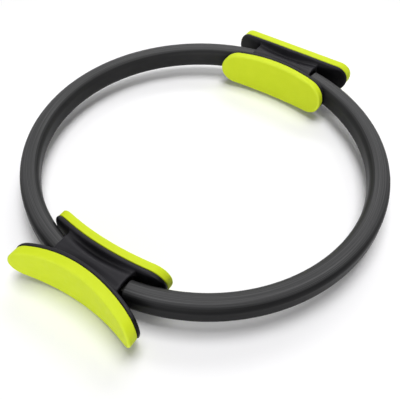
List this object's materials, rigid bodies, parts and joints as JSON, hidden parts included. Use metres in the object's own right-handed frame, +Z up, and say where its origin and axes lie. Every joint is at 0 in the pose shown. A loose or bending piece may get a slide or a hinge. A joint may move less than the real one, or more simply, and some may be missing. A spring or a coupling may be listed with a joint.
{
  "type": "pilates ring",
  "caption": "Flexible hoop of rubber tube with a padded, double-faced handle at each end of one diameter, squeezed or spread for resistance exercise.",
  "frame": {"origin": "on the floor below the centre of the ring, which lies flat on the lower edges of its handles' outer plates", "axes": "+Z up, square to the ring; +Y from the front handle to the rear handle; +X to the right, across the hoop"},
  "size_m": [0.38, 0.4266, 0.051],
  "materials": {
    "hoop_rubber": "matte extruded rubber, dark grey",
    "handle_plastic": "satin moulded black plastic",
    "pad_foam": "smooth lime foam",
    "core_strip": "black glass-fibre strip",
    "joiner_nylon": "natural nylon",
    "screw_steel": "zinc-plated steel"
  },
  "bodies": {
    "front_handle": {"front_outer_shell": "handle_plastic", "front_inner_shell": "handle_plastic", "front_outer_pad": "pad_foam", "front_inner_pad": "pad_foam", "front_joiner": "joiner_nylon", "front_screws": "screw_steel"},
    "left_front_arc": {"left_front_jacket": "hoop_rubber", "left_front_inner_strip": "core_strip", "left_front_middle_strip": "core_strip", "left_front_outer_strip": "core_strip"},
    "left_rear_arc": {"left_rear_jacket": "hoop_rubber", "left_rear_inner_strip": "core_strip", "left_rear_middle_strip": "core_strip", "left_rear_outer_strip": "core_strip"},
    "right_front_arc": {"right_front_jacket": "hoop_rubber", "right_front_inner_strip": "core_strip", "right_front_middle_strip": "core_strip", "right_front_outer_strip": "core_strip"},
    "right_rear_arc": {"right_rear_jacket": "hoop_rubber", "right_rear_inner_strip": "core_strip", "right_rear_middle_strip": "core_strip", "right_rear_outer_strip": "core_strip"},
    "rear_handle": {"rear_outer_shell": "handle_plastic", "rear_inner_shell": "handle_plastic", "rear_outer_pad": "pad_foam", "rear_inner_pad": "pad_foam", "rear_joiner": "joiner_nylon", "rear_screws": "screw_steel"}
  },
  "joints": [
    {"name": "front_left_flex", "type": "hinge", "parent": "front_handle", "child": "left_front_arc", "pos_m": [-0.033, -0.17669, 0.0255], "axis": [0, 0, 1], "range_deg": [-2, 10], "stiffness_Nm_per_rad": 12},
    {"name": "left_side_flex", "type": "hinge", "parent": "left_front_arc", "child": "left_rear_arc", "pos_m": [-0.17975, 0, 0.0255], "axis": [0, 0, 1], "range_deg": [-20, 4], "stiffness_Nm_per_rad": 12, "deforming": ["left_front_jacket", "left_front_inner_strip", "left_front_middle_strip", "left_front_outer_strip", "left_rear_jacket", "left_rear_inner_strip", "left_rear_middle_strip", "left_rear_outer_strip"]},
    {"name": "rear_left_flex", "type": "hinge", "parent": "left_rear_arc", "child": "rear_handle", "pos_m": [-0.033, 0.17669, 0.0255], "axis": [0, 0, 1], "range_deg": [-2, 10], "stiffness_Nm_per_rad": 12},
    {"name": "front_right_flex", "type": "hinge", "parent": "front_handle", "child": "right_front_arc", "pos_m": [0.033, -0.17669, 0.0255], "axis": [0, 0, 1], "range_deg": [-10, 2], "stiffness_Nm_per_rad": 12},
    {"name": "right_side_flex", "type": "hinge", "parent": "right_front_arc", "child": "right_rear_arc", "pos_m": [0.17975, 0, 0.0255], "axis": [0, 0, 1], "range_deg": [-4, 20], "stiffness_Nm_per_rad": 12, "deforming": ["right_front_jacket", "right_front_inner_strip", "right_front_middle_strip", "right_front_outer_strip", "right_rear_jacket", "right_rear_inner_strip", "right_rear_middle_strip", "right_rear_outer_strip"]}
  ],
  "couplings": [
    {"joint": "left_side_flex", "follows": "front_left_flex", "ratio": -2},
    {"joint": "rear_left_flex", "follows": "front_left_flex", "ratio": 1},
    {"joint": "front_right_flex", "follows": "front_left_flex", "ratio": -1},
    {"joint": "right_side_flex", "follows": "front_left_flex", "ratio": 2}
  ]
}
